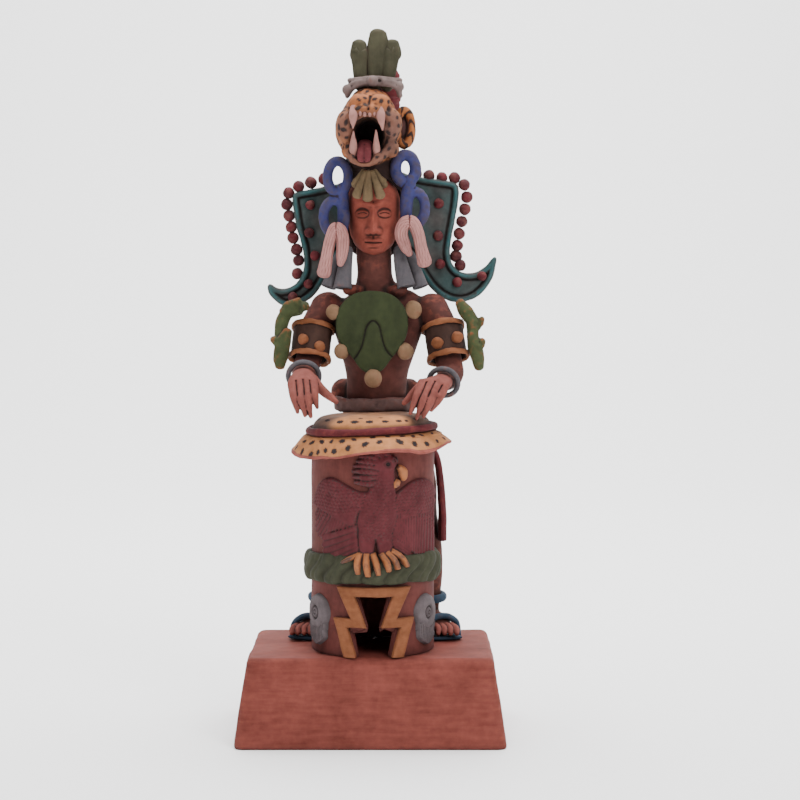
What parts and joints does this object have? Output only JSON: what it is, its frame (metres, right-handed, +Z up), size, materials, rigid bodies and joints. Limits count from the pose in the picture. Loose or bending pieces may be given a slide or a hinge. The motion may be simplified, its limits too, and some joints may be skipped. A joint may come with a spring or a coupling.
{
  "type": "ceramic aztec warrior figurine",
  "caption": "Painted terracotta figurine of an aztec warrior in a spotted big-cat helmet with feathers, standing behind an upright drum on a plinth.",
  "frame": {"origin": "centre of the plinth's underside", "axes": "+Z up, the warrior faces -Y, the warrior's left hand is at +X"},
  "size_m": [0.115, 0.082, 0.3051],
  "materials": {
    "bare_clay": "bare matte terracotta",
    "drum_clay": "matte paint on terracotta",
    "ochre_paint": "matte paint on terracotta",
    "green_paint": "matte paint on terracotta",
    "maroon_paint": "matte paint on terracotta",
    "grey_paint": "matte paint on terracotta",
    "spotted_paint": "matte paint on terracotta",
    "red_paint": "matte paint on terracotta",
    "brown_paint": "matte paint on terracotta",
    "tan_paint": "matte paint on terracotta",
    "slate_paint": "matte paint on terracotta",
    "blue_paint": "matte paint on terracotta",
    "pink_paint": "matte paint on terracotta",
    "teal_paint": "matte paint on terracotta"
  },
  "bodies": {
    "root": {"plinth": "bare_clay", "drum": "drum_clay", "doorway_frame": "ochre_paint", "wreath": "green_paint", "eagle": "maroon_paint", "rosette_left": "grey_paint", "rosette_right": "grey_paint", "drum_skin": "spotted_paint", "drum_cord": "red_paint", "warrior": "bare_clay", "belt": "brown_paint", "pectoral": "green_paint", "helmet": "spotted_paint", "plume": "green_paint", "plume_band": "grey_paint", "crest": "red_paint", "brow_tassel": "tan_paint", "apron": "red_paint", "side_cloth": "red_paint", "wing_left": "slate_paint", "scroll_left": "blue_paint", "ear_coil_left": "pink_paint", "ear_flap_left": "grey_paint", "armband_left": "brown_paint", "bracelet_left": "grey_paint", "leaf_left": "green_paint", "sandal_left": "teal_paint", "wing_right": "slate_paint", "scroll_right": "blue_paint", "ear_coil_right": "pink_paint", "ear_flap_right": "grey_paint", "armband_right": "brown_paint", "bracelet_right": "grey_paint", "leaf_right": "green_paint", "sandal_right": "teal_paint"}
  },
  "joints": []
}
